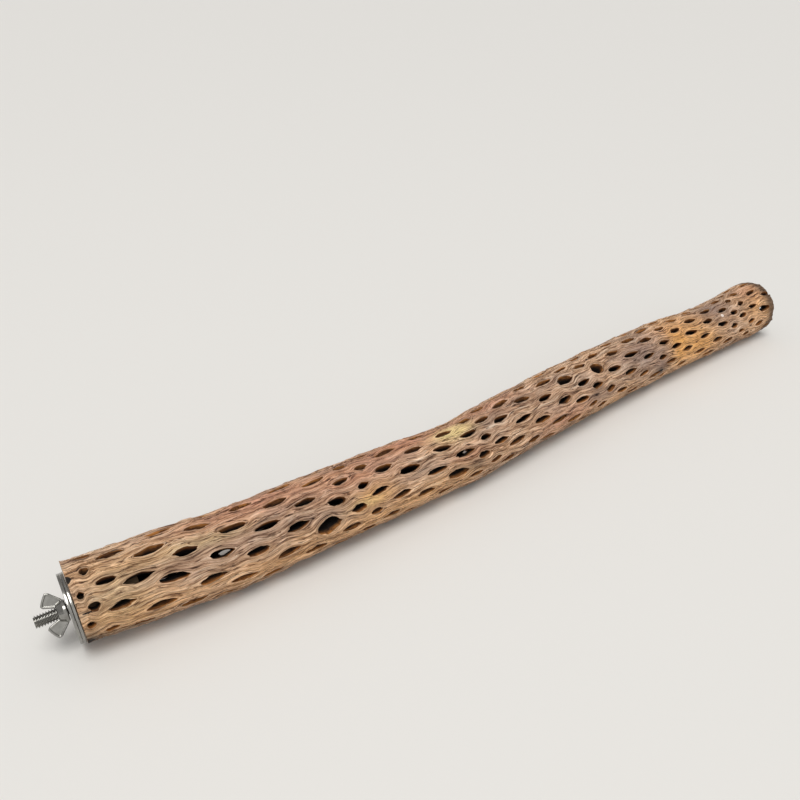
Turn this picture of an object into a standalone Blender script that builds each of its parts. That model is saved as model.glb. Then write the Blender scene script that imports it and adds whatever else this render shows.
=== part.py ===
# Cholla cactus skeleton perch: one hollow, netted length of cactus wood that lies on a table,
# with a hanger bolt, two washers and a wing nut at one end.
# The bolt points to -X, tipped 3 degrees down, the camera side of the wood is -Y, and the table is z = 0.
import math
import random

import bmesh
import bpy
from mathutils import Vector, geometry

MM = 0.001

# Wood, along its own middle line from the bolted end
WOOD_LENGTH = 584.0
BODY_RADIUS = 20.7
CORE_RADIUS = 12.4
# Swells and waists of the outside: place along the wood, half width, change of radius
SWELLS = ((0, 26, -0.9), (62, 55, 0.45), (220, 26, -0.65), (345, 60, 0.4), (500, 30, -1.2), (566, 20, 0.5))
# The outside isn't quite round: share of the radius, lobes, turn of the lobes along the wood
LOBES = ((0.010, 2, 0.011), (0.007, 3, -0.017), (0.004, 5, 0.023))
# Local lumps: place, turn in degrees, reach along, reach round in degrees, height
LUMPS = ((0, -12, 13, 55, 1.9), (0, 155, 10, 40, -1.0), (574, -20, 15, 60, 1.3))
# Heading of the middle line, in degrees, at places along the wood
BENDS = ((0, 0), (40, 0.8), (75, 3.4), (165, 4.9), (215, 5.6), (262, 10.6), (350, 10.0),
         (420, 8.0), (475, 5.8), (530, 8.6), (584, 6.0))
# It touches the table at three low points, worn a little flat
REST_PLACES = (84, 232, 556)
REST_REACH = 26.0
LIFT_BETWEEN = 0.35
REST_WEAR = 0.75
NEAR_END_RISE = 2.4
NEAR_END_REACH = 45.0
FAR_EDGE = 5.0
FAR_EDGE_TAPER = 1.9

# Net of holes: each hole lies one step I along a row or one step J across to the next row,
# and five steps I with nine steps J close the ring
TURN_I = 17.5
RING_I = 5
RING_J = 9
TURN_J = (360 - RING_I * TURN_I) / RING_J
FIRST_HOLE = 36.4
PITCH = 16.07
# Growth rests, where the net is tighter: place, half width, share by which the pitch shrinks
GROWTH_RESTS = ((2, 14, 0.74), (152, 16, 0.43), (240, 16, 0.42), (345, 20, 0.26), (437, 20, 0.21),
                (535, 16, 0.49))
# Slow turn of the rows: step along the wood, degrees
ROW_DRIFT = ((-5, 12.5), (2, 15.5), (10, 26.6), (16, 33.0), (24, 35.5), (40, 41.3))
FIRST_STEP = -10
LAST_STEP = 59
HOLE_LENGTH = 14.4
HOLE_WIDTH = 3.9
SHORTEST_HOLE = 5.2
# Share of the full length that a hole would keep where the net closes up altogether
CLOSED_SHARE = 0.18
END_RIM = 5.0
# Outline of a hole as shares of its length and width, pointed at both ends
HOLE_OUTLINE = ((0.5, 0), (0.21, 0.5), (-0.24, 0.5), (-0.5, 0), (-0.21, -0.5), (0.24, -0.5))
# Knots and other holes that are larger than their neighbours: step I, step J, length, width
KNOTS = ((5, -1, 16.5, 8.6), (10, -4, 15.0, 6.0), (15, -9, 14.5, 6.4), (17, -10, 11.5, 7.6),
         (29, -16, 15.5, 5.0), (18, -9, 9.5, 5.0), (26, -9, 13.5, 7.0), (3, 4, 15.0, 6.6))
# Small round holes by the bolted end, out of step with the net:
# step I, step J, place, turn, length, width
END_HOLES = ((-2, 1, 7.8, 12, 4.2, 4.3), (-1, 1, 15.0, 35, 8.8, 3.5), (-2, 2, 3.3, 42, 3.2, 3.8),
             (-1, 2, 7.4, 62, 5.4, 4.8), (-1, 3, 3.6, 85, 4.2, 3.4))
# How far the holes vary: shares of length and width, millimetres along, degrees round, degrees of tilt
LENGTH_SPREAD = (0.84, 1.1)
WIDTH_SPREAD = (0.84, 1.14)
PLACE_SPREAD = 1.0
TURN_SPREAD = 2.0
TILT_SPREAD = 5.0
SEED = 41

# Fineness of the surface: points round each end, sides of the round hardware, merge distance in metres
END_POINTS = 24
EDGE_OFFSET = 7
BORE_SIDES = 20
PLUG_SIDES = 24
NUT_SIDES = 24
WASHER_SIDES = 40
STUD_SIDES = 14
RINGS_PER_PITCH = 3
SAME_POINT = 0.00002
WOOD_CREASE = math.radians(50)
METAL_CREASE = math.radians(35)

# Hardware: hanger bolt with a coarse thread, two broad washers and a wing nut
THREAD_RADIUS = 3.1
THREAD_ROOT = 2.45
THREAD_PITCH = 1.27
BOLT_ACROSS = -1.3
BOLT_BELOW = 0.1
# The end is cut, and the bolt is set, a little off square: its tip points down
END_TILT = math.radians(3)
END_TILT_REACH = 16.0
FIT_GAP = 0.3
BORE_RADIUS = THREAD_RADIUS + FIT_GAP
PLUG_RADIUS = 11.3
PLUG_LENGTH = 28.0
PLUG_SUNK = 0.9
PLUG_ASIDE = 0.2
BOLT_IN_PLUG = 24.0
STUD_BEYOND_WASHER = 15.0
STUD_CHAMFER = 0.45
WASHER_RADIUS = 17.3
WASHER_THICKNESS = 1.3
WASHER_EDGE = 0.25
NUT_HEIGHT = 4.3
NUT_BASE_RADIUS = 5.3
NUT_BASE_HEIGHT = 1.6
NUT_TOP_RADIUS = 4.2
NUT_EDGE = 0.35
NUT_CORE = 0.8
# Each wing is a flat paddle, wide and nearly square at its tip: distance out and height of the middle
# of its tip and of its root, half its width, and the shares that shape its two ends
WING_TIP = (7.4, 7.45)
WING_ROOT = (4.3, 2.6)
WING_RADIUS = 3.65
WING_THICKNESS = 1.9
WING_TURN = 40.0
TIP_LENGTH = 0.5
TIP_SQUARENESS = 0.55
ROOT_LENGTH = 0.45
ROOT_WIDTH = 0.62
WING_SIDES = 24

INNER_WASHER_FACE = -FIT_GAP
OUTER_WASHER_FACE = INNER_WASHER_FACE - WASHER_THICKNESS - FIT_GAP
OUTSIDE_FACE = OUTER_WASHER_FACE - WASHER_THICKNESS
NUT_FACE = OUTSIDE_FACE - FIT_GAP
STUD_TIP = OUTSIDE_FACE - STUD_BEYOND_WASHER

# Turn that points an object's own Z out along the bolt
OUTWARD = (0, -math.pi / 2 - END_TILT, 0)

# The bolted face of the wood, seen from the middle of the whole part
END_FACE = (-281.6, -33.0)

rng = random.Random(SEED)


def between(pairs, at):
    # Smooth value at a place, between the pairs (place, value) on each side of it
    if at <= pairs[0][0]:
        return pairs[0][1]
    for (a, low), (b, high) in zip(pairs, pairs[1:]):
        if at <= b:
            t = (at - a) / (b - a)
            return low + (high - low) * t * t * (3 - 2 * t)
    return pairs[-1][1]


def bump(at, place, reach):
    return math.exp(-(((at - place) / reach) ** 2))


def mean_radius(s):
    return BODY_RADIUS + sum(change * bump(s, place, reach) for place, reach, change in SWELLS)


def turned_by(turn, angle):
    # Degrees between a turn in radians and an angle, the short way round
    return (math.degrees(turn) - angle + 180) % 360 - 180


def outer_radius(s, turn):
    lobes = sum(share * math.cos(count * turn + twist * s + count) for share, count, twist in LOBES)
    lumps = sum(height * bump(s, place, reach) * bump(turned_by(turn, angle), 0, spread)
                for place, angle, reach, spread, height in LUMPS)
    past = max(0.0, s - (WOOD_LENGTH - FAR_EDGE)) / FAR_EDGE
    return mean_radius(s) * (1 + lobes) + lumps - FAR_EDGE_TAPER * past * past


def middle_line():
    # The middle of the wood each millimetre: x, y and heading
    x, y = 0.0, 0.0
    points = []
    for s in range(int(WOOD_LENGTH) + 2):
        heading = math.radians(between(BENDS, s))
        points.append((x, y, heading))
        x += math.cos(heading)
        y += math.sin(heading)
    return points


MIDDLE = middle_line()


def lowest_reach(s):
    # How far the outside reaches below the middle line, under the stem
    below = [math.radians(t) for t in range(-24, 25, 6)]
    return max(outer_radius(s, math.pi + t) * math.cos(t) for t in below)


def middle_height(s):
    resting = sum(bump(s, place, REST_REACH) for place in REST_PLACES)
    rise = NEAR_END_RISE * bump(s, 0, NEAR_END_REACH)
    return lowest_reach(s) + rise + LIFT_BETWEEN * max(0.0, 1 - resting) - REST_WEAR * min(1.0, resting)


def stem_point(s, turn, radius):
    # A point of the wood: place along it, turn from the top toward the camera side, distance out
    whole = min(max(int(s), 0), len(MIDDLE) - 2)
    part = s - whole
    (xa, ya, ha), (xb, yb, hb) = MIDDLE[whole], MIDDLE[whole + 1]
    x, y = xa + (xb - xa) * part, ya + (yb - ya) * part
    heading = ha + (hb - ha) * part
    side = -math.sin(turn) * radius
    tipped = math.tan(END_TILT) * math.cos(turn) * radius * bump(s, 0, END_TILT_REACH)
    return Vector((
        x - math.sin(heading) * side - tipped + END_FACE[0],
        y + math.cos(heading) * side + END_FACE[1],
        max(0.0, middle_height(s) + math.cos(turn) * radius),
    )) * MM


def tightness(s):
    return 1 - sum(share * bump(s, place, reach) for place, reach, share in GROWTH_RESTS)


def steps_along():
    # Place along the wood for each tenth of a step, from before the bolted end to past the far one
    fine, beyond, tightest = 0.1, 25, 0.15
    places = {0: FIRST_HOLE}
    for way in (-1, 1):
        s, n = FIRST_HOLE, 0
        while -beyond < s < WOOD_LENGTH + beyond:
            s += way * fine * PITCH * max(tightest, tightness(s))
            n += way
            places[n] = s
    return sorted((n * fine, s) for n, s in places.items())


STEPS = steps_along()


def place_at(step):
    for (a, low), (b, high) in zip(STEPS, STEPS[1:]):
        if a <= step <= b:
            return low + (high - low) * (step - a) / (b - a)
    return STEPS[0][1] if step < STEPS[0][0] else STEPS[-1][1]


def step_at(place):
    for (low, a), (high, b) in zip(STEPS, STEPS[1:]):
        if a <= place <= b:
            return low + (high - low) * (place - a) / (b - a)
    return STEPS[-1][0]


def hole_size(i, j, s):
    # Length and width of a hole, smaller where the net is tight, with the knots as they are given
    size = max(0.0, min(1.0, tightness(s)))
    length = max(SHORTEST_HOLE, HOLE_LENGTH * (CLOSED_SHARE + (1 - CLOSED_SHARE) * size))
    drawn = (length * rng.uniform(*LENGTH_SPREAD), HOLE_WIDTH * rng.uniform(*WIDTH_SPREAD))
    for knot_i, knot_j, *given in KNOTS:
        rings = (j - knot_j) / RING_J
        if (i - knot_i) == rings * RING_I and rings in (0, 1, 2):
            return given
    return drawn


def wood_holes():
    # Each hole of the net: place, turn in degrees, length, width, tilt
    end_holes = {(i, j): given for i, j, *given in END_HOLES}
    holes = []
    for j in range(RING_J):
        for i in range(FIRST_STEP, LAST_STEP + 1):
            step = i - j * RING_I / RING_J
            s = place_at(step)
            if END_RIM < s < WOOD_LENGTH - END_RIM:
                length, width = hole_size(i, j, s)
                turn = TURN_I * i + TURN_J * j + between(ROW_DRIFT, step)
                s += rng.uniform(-PLACE_SPREAD, PLACE_SPREAD)
                turn += rng.uniform(-TURN_SPREAD, TURN_SPREAD)
                tilt = math.radians(rng.uniform(-TILT_SPREAD, TILT_SPREAD))
            elif (i, j) not in end_holes:
                continue
            if (i, j) in end_holes:
                s, turn, length, width = end_holes[i, j]
                tilt = 0.0
            holes.append((s, turn, length, width, tilt))
    return holes


def lens(s, turn, length, width, tilt):
    # Outline of a hole on the flat sheet
    middle = math.radians(turn) * BODY_RADIUS
    outline = []
    for along, across in HOLE_OUTLINE:
        u, v = along * length, across * width
        outline.append((s + u * math.cos(tilt) - v * math.sin(tilt),
                        middle + u * math.sin(tilt) + v * math.cos(tilt)))
    return outline


def seam_turn(step):
    # Halfway between the last row of holes and the first
    return TURN_I * step - 180 / RING_J + between(ROW_DRIFT, step)


def flat_sheet():
    # The outside of the wood unrolled: its border, one face for each hole, and the triangles between them
    first, last = step_at(0), step_at(WOOD_LENGTH)
    count = round(last - first)
    steps = [first + (last - first) * n / count for n in range(count + 1)]
    seam = [(min(max(place_at(step), 0.0), WOOD_LENGTH), seam_turn(step)) for step in steps]
    apart = 360 / END_POINTS
    near = [(0.0, seam[0][1] + apart * n) for n in range(1, END_POINTS)]
    far = [(WOOD_LENGTH, seam[-1][1] + apart * n) for n in range(1, END_POINTS)]
    border = seam + far + [(s, turn + 360) for s, turn in reversed(seam)] + near[::-1]
    points = [Vector((s, math.radians(turn) * BODY_RADIUS)) for s, turn in border]
    faces = [list(range(len(points)))]
    for hole in wood_holes():
        outline = lens(*hole)
        faces.append(list(range(len(points), len(points) + len(outline))))
        points += [Vector(point) for point in outline]
    edge = WOOD_LENGTH - FAR_EDGE
    start = seam_turn(step_at(edge)) + EDGE_OFFSET
    points += [Vector((edge, math.radians(start + apart * n) * BODY_RADIUS)) for n in range(END_POINTS)]
    verts, _, tris, _, _, origins = geometry.delaunay_2d_cdt(points, [], faces, 1, 1e-5, True)
    return verts, [tri for tri, origin in zip(tris, origins) if list(origin) == [0]]


def material(name, colour, roughness, metallic):
    made = bpy.data.materials.new(name)
    made.use_nodes = True
    shader = made.node_tree.nodes["Principled BSDF"]
    shader.inputs["Base Color"].default_value = (*colour, 1)
    shader.inputs["Roughness"].default_value = roughness
    shader.inputs["Metallic"].default_value = metallic
    return made


def new_object(name, bm, home, finish):
    mesh = bpy.data.meshes.new(name)
    bm.to_mesh(mesh)
    bm.free()
    made = bpy.data.objects.new(name, mesh)
    home.objects.link(made)
    if finish:
        mesh.materials.append(finish)
    return made


def cholla_wood(home, finish):
    bm = bmesh.new()
    unrolled = bm.verts.layers.float_vector.new("unrolled")
    verts, tris = flat_sheet()
    used = sorted({n for tri in tris for n in tri})
    made = {}
    for n in used:
        s, turn = verts[n].x, verts[n].y / BODY_RADIUS
        made[n] = bm.verts.new(stem_point(s, turn, outer_radius(s, turn)))
        made[n][unrolled] = (s, turn, 0)
    for tri in tris:
        bm.faces.new([made[n] for n in tri])
    bmesh.ops.remove_doubles(bm, verts=bm.verts[:], dist=SAME_POINT)
    sheet = bm.faces[:]
    walls = bmesh.ops.extrude_face_region(bm, geom=sheet, use_keep_orig=True)
    for vert in [v for v in walls["geom"] if isinstance(v, bmesh.types.BMVert)]:
        s, turn, _ = vert[unrolled]
        vert.co = stem_point(s, turn, CORE_RADIUS)
    bmesh.ops.triangulate(bm, faces=bm.faces[:])
    bmesh.ops.recalc_face_normals(bm, faces=bm.faces[:])
    wood = new_object("cholla_wood", bm, home, finish)
    wood.data.shade_smooth()
    wood.data.set_sharp_from_angle(angle=WOOD_CREASE)
    return wood


def turned(name, profile, sides, place, home, finish):
    # A ring turned about its own Z, which points out of the wood along the bolt
    bm = bmesh.new()
    corners = [bm.verts.new((r * MM, 0, z * MM)) for r, z in profile]
    for a, b in zip(corners, corners[1:] + corners[:1]):
        bm.edges.new((a, b))
    bmesh.ops.spin(bm, geom=bm.verts[:] + bm.edges[:], cent=(0, 0, 0), axis=(0, 0, 1), steps=sides,
                   angle=math.tau, use_merge=True)
    bmesh.ops.recalc_face_normals(bm, faces=bm.faces[:])
    made = new_object(name, bm, home, finish)
    made.location = bolt_point(place)
    made.rotation_euler = OUTWARD
    made.data.shade_smooth()
    made.data.set_sharp_from_angle(angle=METAL_CREASE)
    return made


def bolt_point(x):
    # A point of the bolt's axis, x millimetres from the end face of the wood
    middle = Vector((END_FACE[0], END_FACE[1] + BOLT_ACROSS, middle_height(0) - BOLT_BELOW))
    return (middle + Vector((math.cos(END_TILT), 0, math.sin(END_TILT))) * x) * MM


def end_plug(home, finish):
    bm = bmesh.new()
    middle = Vector((END_FACE[0], END_FACE[1], middle_height(0))) * MM
    bmesh.ops.create_cone(bm, cap_ends=True, segments=PLUG_SIDES, radius1=PLUG_RADIUS * MM,
                          radius2=PLUG_RADIUS * MM, depth=PLUG_LENGTH * MM)
    plug = new_object("end_plug", bm, home, finish)
    plug.location = middle + Vector((PLUG_SUNK + PLUG_LENGTH / 2, PLUG_ASIDE, 0)) * MM
    plug.rotation_euler = (0, -math.pi / 2, 0)
    plug.data.shade_smooth()
    plug.data.set_sharp_from_angle(angle=METAL_CREASE)
    return plug


def bore_in_plug(home, cutters):
    # The bolt sits off the plug's middle, so its hole is drilled there
    bore = bore_shape("plug_bore", 4 * PLUG_LENGTH, cutters)
    bore.location = bolt_point(0)
    bore.rotation_euler = OUTWARD
    boolean(home.objects["end_plug"], bore, "DIFFERENCE")


def bore_shape(name, length, cutters):
    bm = bmesh.new()
    bmesh.ops.create_cone(bm, cap_ends=True, segments=BORE_SIDES, radius1=BORE_RADIUS * MM,
                          radius2=BORE_RADIUS * MM, depth=length * MM)
    bore = new_object(name, bm, cutters, None)
    hidden(bore)
    return bore


def hanger_bolt(home, finish):
    # Machine thread outside, plain shank in the plug
    rings = round((STUD_BEYOND_WASHER + WASHER_THICKNESS * 2) / THREAD_PITCH * RINGS_PER_PITCH)
    bm = bmesh.new()
    bmesh.ops.create_grid(bm, x_segments=rings, y_segments=STUD_SIDES, size=0.5)
    for vert in bm.verts:
        ring, turn = round((vert.co.x + 0.5) * rings), (vert.co.y + 0.5) * math.tau
        z = -BOLT_IN_PLUG if ring == 0 else ring / RINGS_PER_PITCH * THREAD_PITCH
        phase = (z / THREAD_PITCH - turn / math.tau) % 1
        crest = 1 - abs(2 * phase - 1)
        radius = THREAD_ROOT + (THREAD_RADIUS - THREAD_ROOT) * crest
        if ring in (0, rings):
            radius = THREAD_RADIUS - STUD_CHAMFER
        elif ring == 1:
            radius = THREAD_RADIUS
        vert.co = Vector((radius * math.cos(turn), radius * math.sin(turn), z)) * MM
    bmesh.ops.remove_doubles(bm, verts=bm.verts[:], dist=SAME_POINT)
    bmesh.ops.holes_fill(bm, edges=[edge for edge in bm.edges if edge.is_boundary])
    bmesh.ops.recalc_face_normals(bm, faces=bm.faces[:])
    bolt = new_object("hanger_bolt", bm, home, finish)
    reach = rings / RINGS_PER_PITCH * THREAD_PITCH
    bolt.location = bolt_point(STUD_TIP + reach)
    bolt.rotation_euler = OUTWARD
    bolt.data.shade_smooth()
    bolt.data.set_sharp_from_angle(angle=METAL_CREASE)
    return bolt


def washer(name, face, home, finish):
    flat, edge = WASHER_RADIUS - WASHER_EDGE, WASHER_THICKNESS - WASHER_EDGE
    profile = ((BORE_RADIUS, 0), (flat, 0), (WASHER_RADIUS, WASHER_EDGE), (WASHER_RADIUS, edge),
               (flat, WASHER_THICKNESS), (BORE_RADIUS, WASHER_THICKNESS))
    return turned(name, profile, WASHER_SIDES, face, home, finish)


def wing(side, nut, cutters):
    # A flat paddle that slopes out and forward from the barrel
    (tip_r, tip_z), (root_r, root_z) = WING_TIP, WING_ROOT
    slope = math.atan2(tip_z - root_z, tip_r - root_r)
    span = math.hypot(tip_z - root_z, tip_r - root_r)
    bm = bmesh.new()
    bmesh.ops.create_cone(bm, cap_ends=True, segments=WING_SIDES, radius1=WING_RADIUS, radius2=WING_RADIUS,
                          depth=WING_THICKNESS)
    for vert in bm.verts:
        x, y, z = vert.co
        if x < -0.1:
            x, y = x * ROOT_LENGTH - span, y * ROOT_WIDTH
        else:
            square = (WING_RADIUS / max(abs(x), abs(y))) ** TIP_SQUARENESS
            x, y = x * square * TIP_LENGTH, y * min(square, WING_RADIUS / max(abs(y), 0.1))
        out = tip_r + x * math.cos(slope) - y * math.sin(slope)
        vert.co = Vector((out * side, -z * side, tip_z + x * math.sin(slope) + y * math.cos(slope))) * MM
    made = new_object(f"wing_shape_{'up' if side > 0 else 'down'}", bm, cutters, None)
    made.parent = nut
    hidden(made)
    return made


def hidden(helper):
    helper.hide_render = True
    helper.display_type = "WIRE"


def boolean(target, helper, operation):
    step = target.modifiers.new(helper.name, "BOOLEAN")
    step.operation = operation
    step.object = helper
    step.solver = "EXACT"


def wing_nut(home, cutters, finish):
    profile = ((NUT_CORE, 0), (NUT_BASE_RADIUS - NUT_EDGE, 0), (NUT_BASE_RADIUS, NUT_EDGE),
               (NUT_BASE_RADIUS, NUT_BASE_HEIGHT), (NUT_TOP_RADIUS, NUT_HEIGHT - NUT_EDGE),
               (NUT_TOP_RADIUS - NUT_EDGE, NUT_HEIGHT), (NUT_CORE, NUT_HEIGHT))
    nut = turned("wing_nut", profile, NUT_SIDES, NUT_FACE, home, finish)
    bore = bore_shape("nut_bore", 4 * NUT_HEIGHT, cutters)
    bore.parent = nut
    for side in (1, -1):
        blade = wing(side, nut, cutters)
        blade.rotation_euler = (0, 0, math.radians(WING_TURN))
        boolean(nut, blade, "UNION")
    boolean(nut, bore, "DIFFERENCE")
    return nut


def main():
    for old in list(bpy.data.objects):
        bpy.data.objects.remove(old, do_unlink=True)
    home = bpy.data.collections.new("cholla_cactus_skeleton")
    cutters = bpy.data.collections.new("cutters")
    for made in (home, cutters):
        bpy.context.scene.collection.children.link(made)
    wood = material("cholla wood", (0.42, 0.25, 0.13), 0.72, 0)
    pale = material("pale dowel wood", (0.55, 0.4, 0.25), 0.7, 0)
    steel = material("bright plated steel", (0.62, 0.62, 0.6), 0.22, 1)
    cholla_wood(home, wood)
    end_plug(home, pale)
    bore_in_plug(home, cutters)
    hanger_bolt(home, steel)
    washer("inner_washer", INNER_WASHER_FACE, home, steel)
    washer("outer_washer", OUTER_WASHER_FACE, home, steel)
    wing_nut(home, cutters, steel)


main()
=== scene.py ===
import math
import random

import bmesh
import bpy
import numpy as np
from mathutils import Matrix, Vector, noise


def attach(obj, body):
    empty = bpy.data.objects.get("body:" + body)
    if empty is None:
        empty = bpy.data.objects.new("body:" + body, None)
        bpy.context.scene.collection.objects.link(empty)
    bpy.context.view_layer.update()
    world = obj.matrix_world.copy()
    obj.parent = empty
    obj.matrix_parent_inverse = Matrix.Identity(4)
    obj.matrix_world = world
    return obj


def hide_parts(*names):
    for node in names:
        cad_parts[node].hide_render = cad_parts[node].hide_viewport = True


# Cholla cactus skeleton perch with its hanger bolt, washers and wing nut.
# Lengths in the dictionaries are millimetres, turns are degrees from the top toward the camera.

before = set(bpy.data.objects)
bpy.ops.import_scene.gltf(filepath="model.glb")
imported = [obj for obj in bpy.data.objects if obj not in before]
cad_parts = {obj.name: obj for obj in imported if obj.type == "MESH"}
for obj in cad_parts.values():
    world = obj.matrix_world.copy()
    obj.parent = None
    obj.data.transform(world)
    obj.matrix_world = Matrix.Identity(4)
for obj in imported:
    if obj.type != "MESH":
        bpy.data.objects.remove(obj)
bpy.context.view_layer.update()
mm = 0.001

wood = {
    "length": 584.0, "radius": 20.7, "core": 12.4,
    "swells": ((0, 26, -0.9), (62, 55, 0.45), (220, 26, -0.65), (345, 60, 0.4), (500, 30, -1.2),
               (566, 20, 0.5)),
    "lobes": ((0.010, 2, 0.011), (0.007, 3, -0.017), (0.004, 5, 0.023)),
    "lumps": ((0, -12, 13, 55, 1.9), (0, 155, 10, 40, -1.0), (574, -20, 15, 60, 1.3)),
    "bends": ((0, 0), (40, 0.8), (75, 3.4), (165, 4.9), (215, 5.6), (262, 10.6), (350, 10.0),
              (420, 8.0), (475, 5.8), (530, 8.6), (584, 6.0)),
    "restPlaces": (84, 232, 556), "restReach": 26.0, "liftBetween": 0.35, "restWear": 0.75,
    "nearEndRise": 2.4, "nearEndReach": 45.0, "farEdge": 5.0, "farEdgeTaper": 1.9,
    "endFace": (-281.6, -33.0), "endTilt": math.radians(3), "endTiltReach": 16.0,
}

net = {
    "turnI": 17.5, "ringI": 5, "ringJ": 9, "firstHole": 36.4, "pitch": 16.07,
    "growthRests": ((2, 14, 0.74), (152, 16, 0.43), (240, 16, 0.42), (345, 20, 0.26), (437, 20, 0.21),
                    (535, 16, 0.49)),
    "rowDrift": ((-5, 12.5), (2, 15.5), (10, 26.6), (16, 33.0), (24, 35.5), (40, 41.3)),
    "holeLength": 14.4, "holeWidth": 3.9, "shortestHole": 5.2, "endRim": 5.0,
    "knots": {(5, -1): (16.5, 8.6), (10, -4): (15.0, 6.0), (15, -9): (14.5, 6.4), (17, -10): (11.5, 7.6),
              (29, -16): (15.5, 5.0), (18, -9): (9.5, 5.0), (26, -9): (13.5, 7.0), (3, 4): (15.0, 6.6)},
    "endHoles": {(-2, 1): (7.8, 12, 4.2, 4.3), (-1, 1): (15.0, 35, 8.8, 3.5), (-2, 2): (3.3, 42, 3.2, 3.8),
                 (-1, 2): (7.4, 62, 5.4, 4.8), (-1, 3): (3.6, 85, 4.2, 3.4)},
    "seed": 41, "firstI": -10, "lastI": 60,
    "step": 0.1, "pastEnds": 25, "tightest": 0.15,  # how finely and how far the pitch is followed
    "shortShare": 0.18, "grownShare": 0.82,  # a hole's length at a growth rest, and what comes on top
    "lengthDraw": (0.84, 1.1), "widthDraw": (0.84, 1.14), "placeDraw": 1, "turnDraw": 2, "tiltDraw": 5,
    "ringsBack": 3, "keptBefore": 12, "keptAfter": 16,  # the sheet reaches past both ends, then is cut
}
net["turnJ"] = (360 - net["ringI"] * net["turnI"]) / net["ringJ"]


def between(pairs, at):
    # smooth value at a place, between the pairs on each side of it
    places, values = np.array(pairs, float).T
    n = np.clip(np.searchsorted(places, at) - 1, 0, len(places) - 2)
    t = np.clip((at - places[n]) / (places[n + 1] - places[n]), 0, 1)
    return values[n] + (values[n + 1] - values[n]) * t * t * (3 - 2 * t)


def bump(at, place, reach):
    return np.exp(-(((at - place) / reach) ** 2))


def turnedBy(turn, angle):
    return (np.degrees(turn) - angle + 180) % 360 - 180


def outerRadius(s, turn):
    mean = wood["radius"] + sum(change * bump(s, place, reach) for place, reach, change in wood["swells"])
    lobes = sum(share * np.cos(count * turn + twist * s + count) for share, count, twist in wood["lobes"])
    lumps = sum(height * bump(s, place, reach) * bump(turnedBy(turn, angle), 0, spread)
                for place, angle, reach, spread, height in wood["lumps"])
    past = np.maximum(0.0, s - (wood["length"] - wood["farEdge"])) / wood["farEdge"]
    return mean * (1 + lobes) + lumps - wood["farEdgeTaper"] * past * past


def middleHeight(s):
    below = [np.radians(t) for t in range(-24, 25, 6)]
    reach = np.max([outerRadius(s, math.pi + t) * np.cos(t) for t in below], axis=0)
    resting = sum(bump(s, place, wood["restReach"]) for place in wood["restPlaces"])
    rise = wood["nearEndRise"] * bump(s, 0, wood["nearEndReach"])
    return (reach + rise + wood["liftBetween"] * np.maximum(0.0, 1 - resting)
            - wood["restWear"] * np.minimum(1.0, resting))


# middle line of the wood, a point each millimetre
milli = np.arange(int(wood["length"]) + 2, dtype=float)
headings = np.radians(between(wood["bends"], milli))
lineX = np.concatenate([[0], np.cumsum(np.cos(headings))[:-1]])
lineY = np.concatenate([[0], np.cumsum(np.sin(headings))[:-1]])
heights = middleHeight(milli)


def stemPoints(s, turn, radius):
    # places in metres, one row for each s, turn in radians and distance out
    x, y = np.interp(s, milli, lineX), np.interp(s, milli, lineY)
    heading, height = np.interp(s, milli, headings), np.interp(s, milli, heights)
    side = -np.sin(turn) * radius
    tipped = math.tan(wood["endTilt"]) * np.cos(turn) * radius * bump(s, 0, wood["endTiltReach"])
    return np.stack([
        x - np.sin(heading) * side - tipped + wood["endFace"][0],
        y + np.cos(heading) * side + wood["endFace"][1],
        np.maximum(0.0, height + np.cos(turn) * radius),
    ], axis=-1) * mm


def tightness(s):
    # 1 where the net has its full pitch, less at each growth rest
    return 1 - sum(share * bump(s, place, reach) for place, reach, share in net["growthRests"])


def stepsAlong():
    # place along the wood of each fine step of the net
    places = {0: net["firstHole"]}
    for way in (-1, 1):
        s, n = net["firstHole"], 0
        while -net["pastEnds"] < s < wood["length"] + net["pastEnds"]:
            s += way * net["step"] * net["pitch"] * max(net["tightest"], tightness(s))
            n += way
            places[n] = s
    return np.array(sorted((n * net["step"], s) for n, s in places.items())).T


stepNumbers, stepPlaces = stepsAlong()


def placeAt(step):
    return float(np.interp(step, stepNumbers, stepPlaces))


def netHoles():
    # every cell of the net: place, turn, length, width, tilt, and whether it is open
    draw = random.Random(net["seed"])
    cells = {}
    for j in range(net["ringJ"]):
        for i in range(net["firstI"], net["lastI"]):
            step = i - j * net["ringI"] / net["ringJ"]
            s = placeAt(step)
            turn = net["turnI"] * i + net["turnJ"] * j + float(between(net["rowDrift"], step))
            size = max(0.0, min(1.0, float(tightness(s))))
            share = net["shortShare"] + net["grownShare"] * size
            length = max(net["shortestHole"], net["holeLength"] * share)
            width, tilt = net["holeWidth"], 0.0
            isOpen = net["endRim"] < s < wood["length"] - net["endRim"]
            if isOpen:
                length *= draw.uniform(*net["lengthDraw"])
                width *= draw.uniform(*net["widthDraw"])
                s += draw.uniform(-net["placeDraw"], net["placeDraw"])
                turn += draw.uniform(-net["turnDraw"], net["turnDraw"])
                tilt = math.radians(draw.uniform(-net["tiltDraw"], net["tiltDraw"]))
                for back in range(net["ringsBack"]):
                    named = (i - back * net["ringI"], j - back * net["ringJ"])
                    length, width = net["knots"].get(named, (length, width))
            if (i, j) in net["endHoles"]:
                s, turn, length, width = net["endHoles"][i, j]
                tilt, isOpen = 0.0, True
            cells[i, j] = (s, turn, length, width, tilt, isOpen)
    return cells


cells = netHoles()


def cellAt(i, j):
    # the cell, with its turn carried on past the seam
    around = j // net["ringJ"]
    i = min(max(i - around * net["ringI"], net["firstI"]), net["lastI"] - 1)
    s, turn, length, width, tilt, isOpen = cells[i, j - around * net["ringJ"]]
    return s, turn + 360 * around, length, width, tilt, isOpen


rim = {"farPoint": 1.6, "nearPoint": 1.15, "wobble": 0.2, "wobbleRound": 1.3, "wobbleShift": (0.7, 3.1),
       "fractal": (0.5, 2.3, 3)}


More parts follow.
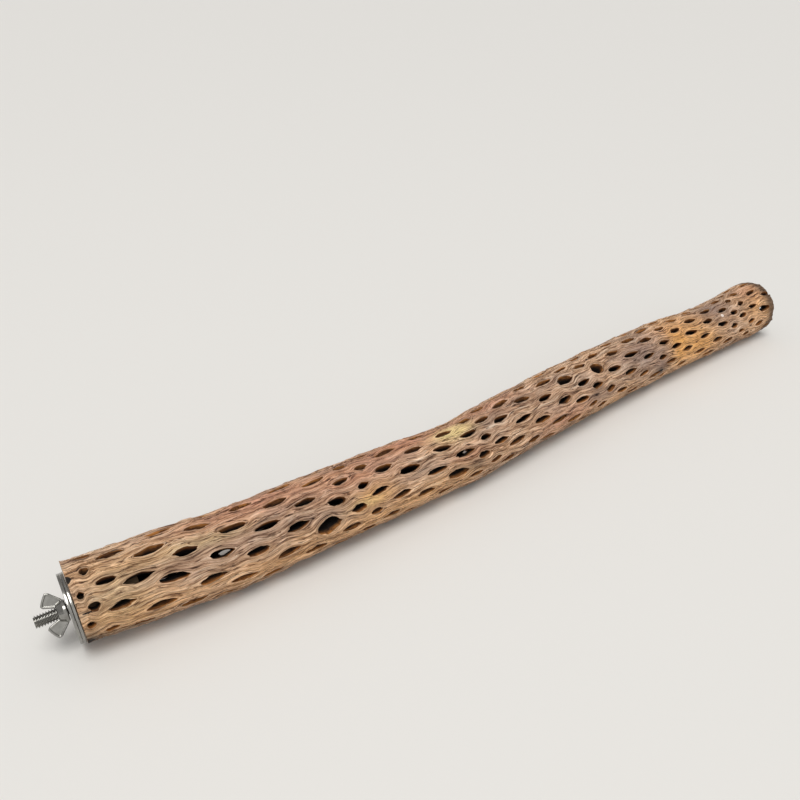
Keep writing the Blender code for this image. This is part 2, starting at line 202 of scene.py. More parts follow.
def rimPoint(i, j, da, db):
    # point of a hole's rim that faces the point (da, db) of its cell's border, with q in quarter turns
    if abs(da) >= abs(db):
        q = db + 0.5 if da > 0 else 2.5 - db
    else:
        q = 1.5 - da if db > 0 else 3.5 + da
    s, turn, length, width, tilt, _ = cellAt(i, j)
    angle = q * math.pi / 2
    shiftY, shiftZ = rim["wobbleShift"]
    across = rim["wobbleRound"]
    spot = (across * math.cos(angle) + s, across * math.sin(angle) - s * shiftY, s * shiftZ)
    ragged = 1 + rim["wobble"] * noise.fractal(spot, *rim["fractal"])
    point = rim["farPoint"] if math.cos(angle) > 0 else rim["nearPoint"]
    u = 0.5 * math.cos(angle) * length * ragged
    v = 0.5 * math.copysign(abs(math.sin(angle)) ** point, math.sin(angle)) * width * ragged
    middle = math.radians(turn) * wood["radius"]
    return (s + u * math.cos(tilt) - v * math.sin(tilt), middle + u * math.sin(tilt) + v * math.cos(tilt))


def strandPoint(a, b):
    # middle of the strand at a point of the cells' borders: the mean of the rims that face it
    offsets = (-0.01, 0.01)
    near = {(math.floor(a + 0.5 + da), math.floor(b + 0.5 + db)) for da in offsets for db in offsets}
    rims = [rimPoint(i, j, a - i, b - j) for i, j in near]
    return sum(p[0] for p in rims) / len(rims), sum(p[1] for p in rims) / len(rims)


def woodSheet():
    # the outside unrolled: a grid of cells, each inset to its hole, with x along the wood and z the depth
    detail = {"sideCuts": 5, "acrossStrand": 4, "downWall": 3}
    columns, rows = net["lastI"] - net["firstI"], net["ringJ"]
    bm = bmesh.new()
    ring = bm.verts.layers.float.new("ring")
    seam = bm.verts.layers.float.new("seam")
    bmesh.ops.create_grid(bm, x_segments=columns, y_segments=rows, size=0.5)
    bmesh.ops.transform(bm, verts=bm.verts[:], matrix=Matrix.Translation((
        net["firstI"] - 0.5 + columns / 2, rows / 2 - 0.5, 0)) @ Matrix.Diagonal((columns, rows, 1, 1)))
    beyond = []
    for face in bm.faces:
        middle = face.calc_center_median()
        s = placeAt(middle.x - middle.y * net["ringI"] / net["ringJ"])
        if not -net["keptBefore"] < s < wood["length"] + net["keptAfter"]:
            beyond.append(face)
    bmesh.ops.delete(bm, geom=beyond, context="FACES")
    bmesh.ops.bisect_edges(bm, edges=bm.edges[:], cuts=detail["sideCuts"])
    borders = bm.verts[:]
    for vert in borders:
        vert[seam] = 1.0 if vert.co.y < -0.49 or vert.co.y > rows - 0.51 else 0.0
    cellFaces = bm.faces[:]
    bmesh.ops.inset_individual(bm, faces=cellFaces, thickness=0, depth=0)
    opened = []
    for face in cellFaces:
        at = face.calc_center_bounds()
        i, j = round(at.x), round(at.y)
        rims = [(vert, rimPoint(i, j, vert.co.x - i, vert.co.y - j)) for vert in face.verts]
        for vert, (x, y) in rims:
            vert.co = (x, y, 0)
            vert[ring], vert[seam] = 1.0, 0.0
        if cellAt(i, j)[5]:
            opened.append(face)
    for vert in borders:
        x, y = strandPoint(vert.co.x, vert.co.y)
        vert.co = (x, y, 0)
        vert[ring] = 0.0
    bmesh.ops.delete(bm, geom=opened, context="FACES")
    for place, way in ((0, -1), (wood["length"], 1)):
        bmesh.ops.bisect_plane(bm, geom=bm.verts[:] + bm.edges[:] + bm.faces[:], dist=0.001,
                               plane_co=(place, 0, 0), plane_no=(way, 0, 0), clear_outer=True)
    inner = bmesh.ops.extrude_face_region(bm, geom=bm.faces[:], use_keep_orig=True)
    for vert in [v for v in inner["geom"] if isinstance(v, bmesh.types.BMVert)]:
        vert.co.z = -1
    seamWalls = [face for face in bm.faces if all(v[seam] > 0.99 for v in face.verts)]
    bmesh.ops.delete(bm, geom=seamWalls, context="FACES")
    down = [e for e in bm.edges if abs(e.verts[0].co.z - e.verts[1].co.z) > 0.5]
    across = [e for e in bm.edges if abs(e.verts[0][ring] - e.verts[1][ring]) > 0.5
              and max(v.co.z for v in e.verts) == min(v.co.z for v in e.verts) == 0]
    bmesh.ops.subdivide_edges(bm, edges=down, cuts=detail["downWall"], use_grid_fill=True)
    bmesh.ops.subdivide_edges(bm, edges=across, cuts=detail["acrossStrand"], use_grid_fill=True)
    return bm, ring


def grainTurn(s, y):
    # across-grain distance: the fibres part at each hole and close again behind it
    bend = {"reach": 0.62, "fade": 3.5}
    around = math.tau * wood["radius"]
    moved = y.copy()
    for i, j in cells:
        hole = cellAt(i, j)
        if not hole[5]:
            continue
        reach, half, tilt = hole[2] * bend["reach"], hole[3] / 2, hole[4]
        ds = s - hole[0]
        dy = (y - math.radians(hole[1]) * wood["radius"] + around / 2) % around - around / 2
        along, aside = ds * math.cos(tilt) + dy * math.sin(tilt), dy * math.cos(tilt) - ds * math.sin(tilt)
        bulge = half * np.maximum(0.0, 1 - (along / reach) ** 2)
        moved -= np.sign(aside) * bulge * np.exp(-np.maximum(0.0, np.abs(aside) - bulge) / bend["fade"])
    return moved


# stains that the wood shows, and in "dark" also painted shade along the lower edge: place, turn, reach along,
# reach round, strength
stainsAndShade = {
    "rosy": ((95, -5, 45, 30, 0.7), (150, 25, 30, 18, 0.5), (190, -8, 40, 24, 0.8), (262, -8, 30, 22, 0.6),
             (225, 60, 14, 14, 0.5), (312, 90, 30, 24, 0.6), (450, 20, 30, 25, 0.3), (560, 10, 14, 25, 0.5),
             (120, 190, 70, 40, 0.35), (400, 235, 60, 40, 0.4)),
    "ochre": ((25, 20, 25, 25, 0.3), (20, 95, 30, 30, 0.4), (110, 100, 60, 28, 0.45), (156, 60, 14, 14, 0.9),
              (200, 95, 45, 28, 0.4), (372, 125, 45, 26, 0.35), (466, 55, 31, 75, 0.75),
              (447, 60, 8, 34, 0.8), (482, 85, 22, 30, 0.4), (560, 60, 25, 50, 0.5),
              (230, 215, 50, 45, 0.5), (520, 250, 40, 50, 0.5)),
    "grey": ((75, 45, 60, 28, 0.6), (300, 30, 45, 40, 0.35), (403, 42, 24, 44, 0.9), (424, 78, 8, 22, 0.8),
             (352, 80, 18, 15, 0.5), (508, 10, 24, 40, 0.9), (245, 30, 20, 30, 0.4), (180, 60, 30, 22, 0.35),
             (60, 230, 50, 50, 0.5), (330, 195, 60, 35, 0.45)),
    "pale": ((223, 11, 13, 14, 1.4), (60, 28, 25, 10, 0.35), (150, 66, 9, 7, 0.6), (18, 60, 14, 40, 0.25)),
    # in "dark", the entries at turns 122 to 145 are painted shade along the lower edge; the others are dark
    # marks
    "dark": ((228, 80, 8, 9, 0.8), (423, 99, 6, 11, 0.95), (0, 112, 7, 16, 0.9), (345, 75, 10, 12, 0.4),
             (127, 77, 9, 5, 0.5), (345, 145, 220, 22, 0.35), (12, 128, 22, 13, 0.7), (120, 128, 80, 11, 0.5),
             (300, 124, 70, 10, 0.4), (530, 122, 45, 12, 0.45)),
}


def stainAndShadeWeights(kind, s, turn):
    found = sum(strength * bump(s, place, along) * bump(turnedBy(turn, angle), 0, wide)
                for place, angle, along, wide, strength in stainsAndShade[kind])
    return np.minimum(1.0, found)


def makeWood():
    relief = {"lip": 0.15, "sag": 0.25, "ridge": 0.72, "ridgeStretch": 0.085, "ridgeFineness": 0.5,
              "wave": 0.7, "waveStretch": 0.05, "waveFineness": 0.11, "fibreWander": 0.09,
              "wanderStretch": 0.055, "wanderRound": 3, "waveOffset": 9, "fractal": (0.8, 2.1, 3),
              "wallRoughness": 0.6, "wallCurve": 1.6, "wallShift": 0.4, "grainShrink": 40, "lipDepth": 1.5}
    bm, ring = woodSheet()
    layers = {name: bm.verts.layers.float_vector.new(name) for name in ("grain", "place", "tints", "marks")}
    verts = bm.verts[:]
    flat = np.array([v.co[:] for v in verts])
    rimShare = np.array([v[ring] for v in verts])
    s, y, depth = flat[:, 0], flat[:, 1], -flat[:, 2]
    turn = y / wood["radius"]
    across = grainTurn(s, y) / wood["radius"]
    slow, rounded = relief["wanderStretch"], relief["wanderRound"]
    wander = np.array([noise.noise((a * slow, rounded * math.cos(t), rounded * math.sin(t)))
                       for a, t in zip(s, turn)])
    across = across + relief["fibreWander"] * wander
    cosAcross, sinAcross = np.cos(across) * wood["radius"], np.sin(across) * wood["radius"]
    down = depth ** relief["wallCurve"]
    inward = down * (wood["radius"] - wood["core"])
    fine = relief["ridgeFineness"]
    stretch, fractal = relief["ridgeStretch"], relief["fractal"]
    ridges = np.array([noise.fractal((a * stretch, b * fine, c * fine + d), *fractal)
                       for a, b, c, d in zip(s, cosAcross, sinAcross, inward * relief["wallShift"])])
    long, broad, offset = relief["waveStretch"], relief["waveFineness"], relief["waveOffset"]
    waves = np.array([noise.noise((a * long, b * broad, c * broad + offset))
                      for a, b, c in zip(s, cosAcross, sinAcross)])
    onTop = 1 - np.minimum(1, depth * relief["lipDepth"])
    outside = outerRadius(s, turn)
    outside = (outside - relief["lip"] * rimShare ** 6 * onTop - relief["sag"] * rimShare ** 2 * onTop
               + relief["ridge"] * ridges * onTop + relief["wave"] * waves)
    radius = outside * (1 - down) + wood["core"] * down + relief["wallRoughness"] * ridges * (1 - onTop)
    points = stemPoints(s, turn, radius)
    tints = np.stack([stainAndShadeWeights(kind, s, turn) for kind in ("rosy", "ochre", "grey")], axis=-1)
    marks = np.stack([stainAndShadeWeights(kind, s, turn) for kind in ("pale", "dark")]
                     + [np.cos(turn) * wood["radius"]], axis=-1)
    shrunk = 1 - inward / relief["grainShrink"]
    grains = np.stack([s, cosAcross * shrunk, sinAcross * shrunk], axis=-1)
    places = np.stack([rimShare * onTop, np.sin(turn) * wood["radius"], depth], axis=-1)
    cut = np.minimum(s, wood["length"] - s) < 0.01
    for n, vert in enumerate(verts):
        vert.co = points[n]
        for name, values in (("grain", grains), ("place", places), ("tints", tints), ("marks", marks)):
            vert[layers[name]] = values[n]
    for vert, isCut in zip(verts, cut):
        vert.tag = bool(isCut)
    for face in bm.faces:
        face.material_index = 1 if all(vert.tag for vert in face.verts) else 0
    bmesh.ops.remove_doubles(bm, verts=bm.verts[:], dist=0.000002)
    bmesh.ops.triangulate(bm, faces=[face for face in bm.faces if len(face.verts) > 4])
    bmesh.ops.recalc_face_normals(bm, faces=bm.faces[:])
    return finished("netted_wood", bm, 60)


def finished(name, bm, sharp):
    mesh = bpy.data.meshes.new(name)
    bm.to_mesh(mesh)
    bm.free()
    mesh.shade_smooth()
    mesh.set_sharp_from_angle(angle=math.radians(sharp))
    made = bpy.data.objects.new(name, mesh)
    bpy.context.scene.collection.objects.link(made)
    return made


def countTriangles(piece):
    piece.data.calc_loop_triangles()
    print(piece.name, len(piece.data.loop_triangles), "triangles")


netted = makeWood()
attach(netted, "perch")
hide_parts("cholla_wood")
countTriangles(netted)


# hardware, modelled round its own axis: z out along the bolt from the end of the wood, x up

hardware = {"aside": -1.3, "below": 0.1}
boltFrame = (Matrix.Translation(Vector((wood["endFace"][0], wood["endFace"][1] + hardware["aside"],
                                        float(middleHeight(0.0)) - hardware["below"])) * mm)
             @ Matrix.Rotation(-math.pi / 2 - wood["endTilt"], 4, "Y") @ Matrix.Scale(mm, 4))


def ringOf(profile, steps):
    # a closed profile of (radius, height) spun round z
    bm = bmesh.new()
    corners = [bm.verts.new((r, 0, z)) for r, z in profile]
    for a, b in zip(corners, corners[1:] + corners[:1]):
        bm.edges.new((a, b))
    bmesh.ops.spin(bm, geom=bm.verts[:] + bm.edges[:], cent=(0, 0, 0), axis=(0, 0, 1), angle=math.tau,
                   steps=steps, use_merge=True)
    bmesh.ops.recalc_face_normals(bm, faces=bm.faces[:])
    return bm


def sharpEdges(bm, angle):
    return [e for e in bm.edges if len(e.link_faces) == 2 and e.calc_face_angle() > math.radians(angle)]


def placedHardware(name, bm, sharp, body, node):
    bmesh.ops.transform(bm, matrix=boltFrame, verts=bm.verts[:])
    made = finished(name, bm, sharp)
    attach(made, body)
    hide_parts(node)
    countTriangles(made)
    return made


stud = {"crest": 3.1, "root": 2.36, "crestWidth": 0.14, "rootWidth": 0.12, "pitch": 1.27,
        "stepsPerTurn": 32, "innerEnd": -24.0, "tip": 18.2, "chamfer": 0.45}


def makeStud():
    # one tooth of the thread, carried round the helix, then cut to length and chamfered
    bm = bmesh.new()
    half, pitch = stud["crestWidth"] / 2, stud["pitch"]
    tooth = ((stud["root"], 0), (stud["crest"], pitch / 2 - half), (stud["crest"], pitch / 2 + half),
             (stud["root"], pitch - stud["rootWidth"]), (stud["root"], pitch))
    corners = [bm.verts.new((r, 0, stud["innerEnd"] - pitch + z)) for r, z in tooth]
    for a, b in zip(corners, corners[1:]):
        bm.edges.new((a, b))
    turns = math.ceil((stud["tip"] - stud["innerEnd"]) / pitch) + 2
    steps = turns * stud["stepsPerTurn"]
    bmesh.ops.spin(bm, geom=bm.verts[:] + bm.edges[:], cent=(0, 0, 0), axis=(0, 0, 1), angle=math.tau * turns,
                   steps=steps, dvec=(0, 0, pitch / stud["stepsPerTurn"]), use_merge=False)
    bmesh.ops.remove_doubles(bm, verts=bm.verts[:], dist=0.001)
    for place, way in ((stud["innerEnd"], -1), (stud["tip"], 1)):
        bmesh.ops.bisect_plane(bm, geom=bm.verts[:] + bm.edges[:] + bm.faces[:], dist=0.0001,
                               plane_co=(0, 0, place), plane_no=(0, 0, way), clear_outer=True)
    for vert in bm.verts:
        most = stud["crest"] - max(0, vert.co.z - stud["tip"] + stud["chamfer"])
        radius = math.hypot(vert.co.x, vert.co.y)
        if radius > most:
            vert.co.x *= most / radius
            vert.co.y *= most / radius
    bmesh.ops.holes_fill(bm, edges=[e for e in bm.edges if e.is_boundary])
    bmesh.ops.recalc_face_normals(bm, faces=bm.faces[:])
    return placedHardware("threaded_stud", bm, 28, "perch", "hanger_bolt")


washers = {"bore": 3.4, "radius": 17.3, "thickness": 1.4, "rounding": 0.22, "inner": 0.3, "outer": 1.8,
           "sides": 96}


def makeWasher(name, face, body, node):
    top = face + washers["thickness"]
    profile = ((washers["bore"], face), (washers["radius"], face), (washers["radius"], top),
               (washers["bore"], top))
    bm = ringOf(profile, washers["sides"])
    bmesh.ops.bevel(bm, geom=sharpEdges(bm, 60), offset=washers["rounding"], offset_type="OFFSET",
                    affect="EDGES", segments=3, profile=0.5, material=-1)
    return placedHardware(name, bm, 40, body, node)


nut = {"face": 3.5, "height": 4.3, "bore": 3.2, "base": 5.3, "baseHeight": 1.6, "top": 4.2, "edge": 0.35,
       "wingTip": (7.4, 7.45), "wingRoot": (4.3, 2.6), "wingHalf": 3.65, "tipLength": 0.5,
       "tipSquareness": 0.55, "rootLength": 0.45, "rootWidth": 0.62, "thickness": 1.7, "rounding": 0.4,
       "turn": 40.0, "pressedIn": 0.45, "pressedEdge": 0.15, "pressedDeep": 0.22, "rootThicker": 1.25,
       "lip": 0.2, "sides": 64, "wingSides": 48, "voxel": 0.00015}


def wing(side):
    # a flat paddle, wide at its tip, that slopes out and forward from the barrel
    (tipR, tipZ), (rootR, rootZ) = nut["wingTip"], nut["wingRoot"]
    slope = math.atan2(tipZ - rootZ, tipR - rootR)
    span = math.hypot(tipZ - rootZ, tipR - rootR)
    bm = bmesh.new()
    half = nut["wingHalf"]
    bmesh.ops.create_cone(bm, cap_ends=True, segments=nut["wingSides"], radius1=half, radius2=half,
                          depth=nut["thickness"])
    for vert in bm.verts:
        x, y, z = vert.co
        if x < -0.1:
            x, y = x * nut["rootLength"] - span, y * nut["rootWidth"]
            z *= nut["rootThicker"]
        else:
            square = (half / max(abs(x), abs(y))) ** nut["tipSquareness"]
            x, y = x * square * nut["tipLength"], y * min(square, half / max(abs(y), 0.1))
        vert.co = (x, y, z)
    bmesh.ops.bevel(bm, geom=sharpEdges(bm, 60), offset=nut["rounding"], offset_type="OFFSET", affect="EDGES",
                    segments=3, profile=0.5, material=-1)
    broad = [face for face in bm.faces if abs(face.normal.z) > 0.8 and face.calc_area() > 3]
    bmesh.ops.inset_individual(bm, faces=broad, thickness=nut["pressedIn"], depth=0)
    bmesh.ops.inset_individual(bm, faces=broad, thickness=nut["pressedEdge"], depth=-nut["pressedDeep"])
    for vert in bm.verts:
        x, y, z = vert.co
        out = tipR + x * math.cos(slope) - y * math.sin(slope)
        vert.co = (out * side, -z * side, nut["face"] + tipZ + x * math.sin(slope) + y * math.cos(slope))
    turned = Matrix.Rotation(math.radians(nut["turn"]), 3, "Z")
    bmesh.ops.rotate(bm, verts=bm.verts[:], cent=(0, 0, 0), matrix=turned)
    return bm


def makeWingNut():
    face, height, edge = nut["face"], nut["height"], nut["edge"]
    profile = ((nut["bore"] + edge, face), (nut["base"] - edge, face), (nut["base"], face + edge),
               (nut["base"], face + nut["baseHeight"]), (nut["top"], face + height - edge),
               (nut["top"] - edge, face + height), (nut["bore"] + nut["lip"], face + height),
               (nut["bore"], face + height - nut["lip"]),
               (nut["bore"], face + edge))
    bm = ringOf(profile, nut["sides"])
    for side in (1, -1):
        other = wing(side)
        blade = bpy.data.meshes.new("wing")
        other.to_mesh(blade)
        other.free()
        bm.from_mesh(blade)
        bpy.data.meshes.remove(blade)
    made = placedHardware("winged_nut", bm, 30, "nut", "wing_nut")
    fuse = made.modifiers.new("cast in one", "REMESH")
    fuse.mode = "VOXEL"
    fuse.voxel_size = nut["voxel"]
    fuse.use_smooth_shade = True
    soften = made.modifiers.new("tumbled", "SMOOTH")
    soften.factor = 0.5
    soften.iterations = 3
    return made


steelPieces = [makeStud(), makeWasher("inner_plate", washers["inner"], "perch", "inner_washer"),
               makeWasher("outer_plate", washers["outer"], "loose_washer", "outer_washer"), makeWingNut()]


# materials

class Nodes:
    # a material's node tree, with short ways to add and join nodes
    def __init__(self, name):
        self.material = bpy.data.materials.new(name)
        self.material.use_nodes = True
        self.tree = self.material.node_tree
        self.shader = self.tree.nodes["Principled BSDF"]

    def join(self, source, socket):
        if isinstance(source, (int, float)):
            socket.default_value = source
        elif isinstance(source, tuple):
            needsAlpha = len(source) == 3 and len(socket.default_value) == 4
            socket.default_value = (*source, 1) if needsAlpha else source
        else:
            self.tree.links.new(source, socket)

    def attribute(self, name):
        node = self.tree.nodes.new("ShaderNodeAttribute")
        node.attribute_name = name
        return node.outputs["Vector"]

    def parts(self, vector):
        node = self.tree.nodes.new("ShaderNodeSeparateXYZ")
        self.join(vector, node.inputs[0])
        return node.outputs

    def objectPlace(self):
        return self.tree.nodes.new("ShaderNodeTexCoord").outputs["Object"]

    def scaled(self, vector, scale):
        node = self.tree.nodes.new("ShaderNodeMapping")
        self.join(vector, node.inputs["Vector"])
        node.inputs["Scale"].default_value = scale
        return node.outputs[0]

    def noise(self, vector, scale, detail=4.0, roughness=0.55, distortion=0.0):
        node = self.tree.nodes.new("ShaderNodeTexNoise")
        self.join(vector, node.inputs["Vector"])
        settings = {"Scale": scale, "Detail": detail, "Roughness": roughness, "Distortion": distortion}
        for name, value in settings.items():
            node.inputs[name].default_value = value
        return node.outputs["Fac"]

    def ramp(self, factor, *stops):
        node = self.tree.nodes.new("ShaderNodeValToRGB")
        elements = node.color_ramp.elements
        while len(elements) < len(stops):
            elements.new(0.5)
        for element, (place, colour) in zip(elements, stops):
            element.position = place
            element.color = (colour,) * 3 + (1,) if isinstance(colour, (int, float)) else (*colour, 1)
        self.join(factor, node.inputs["Fac"])
        return node.outputs["Color"]

    def mix(self, factor, a, b, blend="MIX"):
        node = self.tree.nodes.new("ShaderNodeMix")
        node.data_type = "RGBA"
        node.blend_type = blend
        colours = [i for i in node.inputs if i.type == "RGBA"]
        self.join(factor, node.inputs[0])
        self.join(a, colours[0])
        self.join(b, colours[1])
        return [o for o in node.outputs if o.type == "RGBA"][0]

    def math(self, operation, a, b):
        node = self.tree.nodes.new("ShaderNodeMath")
        node.operation = operation
        self.join(a, node.inputs[0])
        self.join(b, node.inputs[1])
        return node.outputs[0]

    def bump(self, height, strength, distance):
        node = self.tree.nodes.new("ShaderNodeBump")
        node.inputs["Strength"].default_value = strength
        node.inputs["Distance"].default_value = distance
        self.join(height, node.inputs["Height"])
        self.join(node.outputs[0], self.shader.inputs["Normal"])

    def finish(self, colour, roughness, metallic=0.0):
        self.join(colour, self.shader.inputs["Base Color"])
        self.join(roughness, self.shader.inputs["Roughness"])
        self.shader.inputs["Metallic"].default_value = metallic
        return self.material


# small marks: place, turn, reach along, reach round; the notches are painted shade, with no hollow in the
# wood
markEdge = 1.2
notches = ((0.2, 17, 2.0, 2.4), (0.6, 122, 3.4, 4.6), (4.2, 66, 3.6, 0.5), (423.5, 98.5, 3.4, 1.6))
chips = ((511, 36, 1.9, 1.7), (560, 18, 0.9, 0.8))


def markAt(m, s, side, up, spots, ragged):
    # 1 inside any of the spots, by the distance from each one's middle on the round wood
    found = 0.0
    for place, angle, along, wide in spots:
        middleSide = wood["radius"] * math.sin(math.radians(angle))
        middleUp = wood["radius"] * math.cos(math.radians(angle))
        offsets = [m.math("DIVIDE", m.math("SUBTRACT", value, at), reach) for value, at, reach in
                   ((s, place, along), (side, middleSide, wide), (up, middleUp, wide))]
        squares = [m.math("MULTIPLY", offset, offset) for offset in offsets]
        away = m.math("ADD", m.math("ADD", squares[0], squares[1]), squares[2])
        found = m.math("MAXIMUM", m.math("LESS_THAN", m.math("ADD", away, ragged), markEdge), found)
    return found


def chollaWood():
    m = Nodes("weathered cholla wood")
    look = {"stretch": 0.10, "streaks": 0.50, "fineStretch": 0.06, "fines": 1.05, "crackStretch": 0.13,
            "cracks": 0.75, "patchStretch": 0.35, "patches": 0.10, "rimStart": 570.0, "rimReach": 11.0,
            "rimWander": 10.0}
    grain = m.attribute("grain")
    tint, mark, place = (m.parts(m.attribute(name)) for name in ("tints", "marks", "place"))
    streaks = m.noise(m.scaled(grain, (look["stretch"], 1, 1)), look["streaks"], 6, 0.68, 0.9)
    fines = m.noise(m.scaled(grain, (look["fineStretch"], 1, 1)), look["fines"], 4, 0.68, 0.5)
    cracks = m.noise(m.scaled(grain, (look["crackStretch"], 1, 1)), look["cracks"], 3, 0.55, 1.4)
    patches = m.noise(m.scaled(grain, (look["patchStretch"], 1, 1)), look["patches"], 4, 0.6)
    colour = m.ramp(streaks, (0.36, (0.15, 0.07, 0.035)), (0.43, (0.42, 0.235, 0.125)),
                    (0.50, (0.70, 0.435, 0.265)), (0.57, (0.93, 0.64, 0.425)), (0.66, (1.0, 0.80, 0.60)))
    colour = m.mix(m.ramp(patches, (0.47, 0), (0.62, 0.5)), colour, (0.55, 0.40, 0.315))
    for weight, tone in ((tint[0], (0.62, 0.255, 0.15)), (tint[1], (0.90, 0.46, 0.135)),
                         (tint[2], (0.30, 0.205, 0.175)), (mark[0], (1.0, 0.79, 0.37))):
        broken = m.math("MULTIPLY", weight, m.ramp(streaks, (0.34, 0.45), (0.56, 1.0)))
        colour = m.mix(broken, colour, tone)
    fineShade = m.ramp(fines, (0.34, (0.26, 0.19, 0.15)), (0.43, (0.79, 0.74, 0.69)), (0.5, 1.0),
                       (0.62, 1.34))
    colour = m.mix(1.0, colour, fineShade, "MULTIPLY")
    crackShade = m.ramp(cracks, (0.31, (0.10, 0.06, 0.05)), (0.395, (0.60, 0.52, 0.46)), (0.435, 1.0))
    colour = m.mix(1.0, colour, crackShade, "MULTIPLY")
    lip = m.ramp(place[0], (0.82, 0), (1.0, 0.3))
    colour = m.mix(lip, colour, (0.72, 0.52, 0.34))
    # the "dark" weights: dark marks, and painted shade along the lower edge
    darkened = m.math("MULTIPLY", mark[1], m.ramp(fines, (0.3, 1.0), (0.7, 0.75)))
    colour = m.mix(darkened, colour, (0.018, 0.012, 0.01))
    along = m.parts(grain)[0]
    nearRim = m.math("ADD", along, m.math("MULTIPLY", streaks, look["rimWander"]))
    lastRim = m.math("DIVIDE", m.math("SUBTRACT", nearRim, look["rimStart"]), look["rimReach"])
    colour = m.mix(m.ramp(lastRim, (0.25, 0), (0.95, 0.82)), colour, (0.075, 0.04, 0.02))
    colour = m.mix(markAt(m, along, place[1], mark[2], chips, fines), colour, (1.0, 0.88, 0.80))
    # painted shade: the notches and the crack are near black, with no hollow cut for them
    colour = m.mix(markAt(m, along, place[1], mark[2], notches, fines), colour, (0.012, 0.007, 0.005))
    wall = m.ramp(fines, (0.38, (0.14, 0.045, 0.012)), (0.6, (0.62, 0.25, 0.06)))
    colour = m.mix(m.ramp(place[2], (0.01, 0), (0.06, 1)), colour, wall)
    # painted shade: the hole walls go near black with depth, down to the core
    colour = m.mix(m.ramp(place[2], (0.2, 0), (0.7, 1)), colour, (0.010, 0.005, 0.003))
    crackHeight = m.ramp(cracks, (0.3, 0), (0.42, 0.35))
    height = m.math("ADD", streaks, m.math("ADD", m.math("MULTIPLY", fines, 0.7), crackHeight))
    m.bump(height, 1.0, 0.0014)
    return m.finish(colour, m.ramp(streaks, (0.3, 0.9), (0.7, 0.66)))


def sawnEnd():
    m = Nodes("sawn end of the wood")
    look = {"pores": 900, "saw": (40, 40, 900)}
    place = m.objectPlace()
    pores = m.noise(place, look["pores"], 3, 0.6)
    saw = m.noise(m.scaled(place, look["saw"]), 1, 2, 0.5)
    colour = m.ramp(pores, (0.35, (0.16, 0.09, 0.05)), (0.6, (0.48, 0.33, 0.2)))
    colour = m.mix(0.3, colour, m.ramp(saw, (0.3, (0.2, 0.12, 0.07)), (0.7, (0.55, 0.4, 0.26))))
    m.bump(m.math("ADD", pores, saw), 0.6, 0.0004)
    return m.finish(colour, 0.8)


def dowelWood():
    m = Nodes("plain dowel")
    look = {"rings": (12, 260, 260), "pores": (60, 900, 900)}
    place = m.objectPlace()
    rings = m.noise(m.scaled(place, look["rings"]), 1, 4, 0.6, 0.4)
    pores = m.noise(m.scaled(place, look["pores"]), 1, 3, 0.6)
    # painted shade: the dowel's colours are kept dark so the plug looks shaded down the holes
    colour = m.ramp(rings, (0.35, (0.13, 0.075, 0.04)), (0.65, (0.27, 0.175, 0.10)))
    colour = m.mix(1.0, colour, m.ramp(pores, (0.35, 0.6), (0.5, 1.0)), "MULTIPLY")
    m.bump(pores, 0.5, 0.0002)
    return m.finish(colour, 0.75)


def platedSteel():
    m = Nodes("bright plated steel")
    look = {"cloud": 240, "scratches": (3000, 900, 400)}
    place = m.objectPlace()
    cloud = m.noise(place, look["cloud"], 3, 0.5)
    scratches = m.noise(m.scaled(place, look["scratches"]), 1, 2, 0.5, 0.6)
    colour = m.ramp(cloud, (0.3, (0.25, 0.245, 0.23)), (0.7, (0.36, 0.355, 0.335)))
    m.bump(scratches, 0.03, 0.00002)
    return m.finish(colour, m.ramp(cloud, (0.3, 0.1), (0.7, 0.18)), 1.0)


woodFinish, endFinish, dowelFinish, steelFinish = chollaWood(), sawnEnd(), dowelWood(), platedSteel()
netted.data.materials.append(woodFinish)
netted.data.materials.append(endFinish)
for piece in steelPieces:
    piece.data.materials.append(steelFinish)
for name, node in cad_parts.items():
    node.data.materials.clear()
    node.data.materials.append({"end_plug": dowelFinish, "cholla_wood": woodFinish}.get(name, steelFinish))
print("materials on")


# floor, light and camera

studio = {"floorSize": 24.0, "floorColour": (0.80, 0.792, 0.775)}
bm = bmesh.new()
bmesh.ops.create_grid(bm, x_segments=1, y_segments=1, size=studio["floorSize"] / 2)
floor = finished("floor", bm, 30)
paint = Nodes("pale floor")
floor.data.materials.append(paint.finish(studio["floorColour"], 0.55))


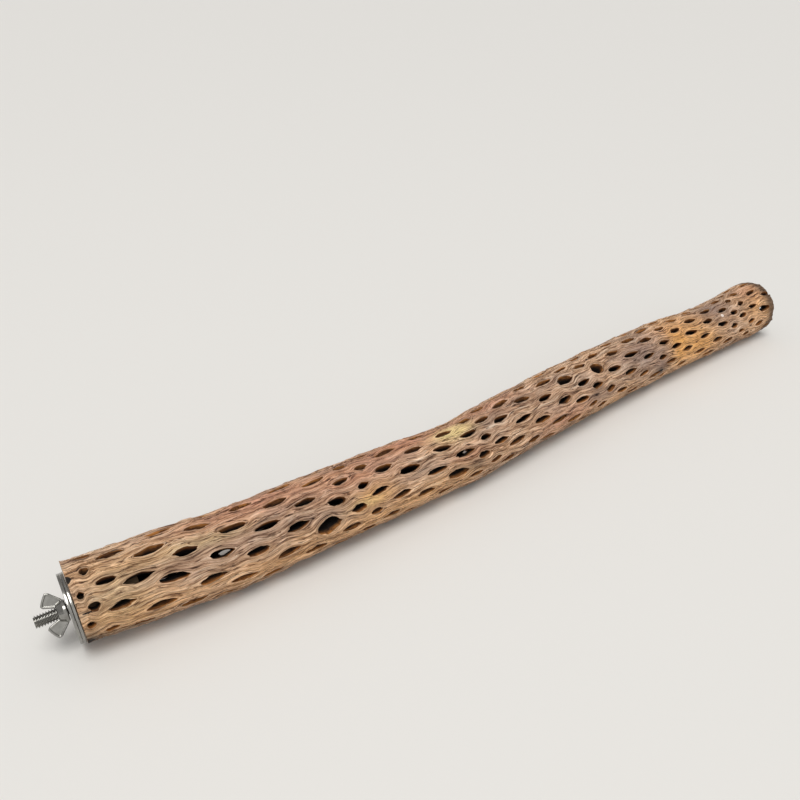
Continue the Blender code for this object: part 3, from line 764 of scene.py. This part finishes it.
def sky(name, strength, *stops):
    # soft light from all round, brighter overhead than near the horizon
    world = bpy.data.worlds.new(name)
    bpy.context.scene.world = world
    world.use_nodes = True
    tree = world.node_tree
    ways = tree.nodes.new("ShaderNodeTexCoord")
    parts = tree.nodes.new("ShaderNodeSeparateXYZ")
    ramp = tree.nodes.new("ShaderNodeValToRGB")
    tree.links.new(ways.outputs["Generated"], parts.inputs[0])
    tree.links.new(parts.outputs["Z"], ramp.inputs["Fac"])
    tree.links.new(ramp.outputs["Color"], tree.nodes["Background"].inputs["Color"])
    tree.nodes["Background"].inputs["Strength"].default_value = strength
    elements = ramp.color_ramp.elements
    while len(elements) < len(stops):
        elements.new(0.5)
    for element, (place, level) in zip(elements, stops):
        element.position = place
        element.color = (level, level * 0.985, level * 0.96, 1)


studioLight = {"place": (-0.2, -0.34, 1.1), "strength": 1.6, "spread": 34.0,
               "fillPlace": (-0.35, -1.0, 0.62), "fillStrength": 0.45, "fillSpread": 70.0,
               "lampTint": (1, 0.985, 0.955)}


def softLight(name, place, strength, spread):
    lamp = bpy.data.lights.new(name, "SUN")
    lamp.energy = strength
    lamp.angle = math.radians(spread)
    lamp.color = studioLight["lampTint"]
    made = bpy.data.objects.new(name, lamp)
    made.rotation_euler = Vector(place).to_track_quat("Z", "Y").to_euler()
    bpy.context.scene.collection.objects.link(made)


softLight("overhead light", studioLight["place"], studioLight["strength"], studioLight["spread"])
softLight("front fill", studioLight["fillPlace"], studioLight["fillStrength"], studioLight["fillSpread"])
sky("studio", 1.0, (0.0, 0.5), (0.22, 0.36), (0.6, 0.4), (1.0, 0.6))
bpy.context.scene.view_settings.view_transform = "Standard"

view = {"place": (-0.29913, -0.35073, 0.29023), "turn": (60.5, 0, -31.8237), "lens": 36.0, "sensor": 36.0}
camera = bpy.data.cameras.new("camera")
camera.lens = view["lens"]
camera.sensor_width = view["sensor"]
cameraObject = bpy.data.objects.new("camera", camera)
cameraObject.location = view["place"]
cameraObject.rotation_euler = [math.radians(angle) for angle in view["turn"]]
bpy.context.scene.collection.objects.link(cameraObject)
bpy.context.scene.camera = cameraObject
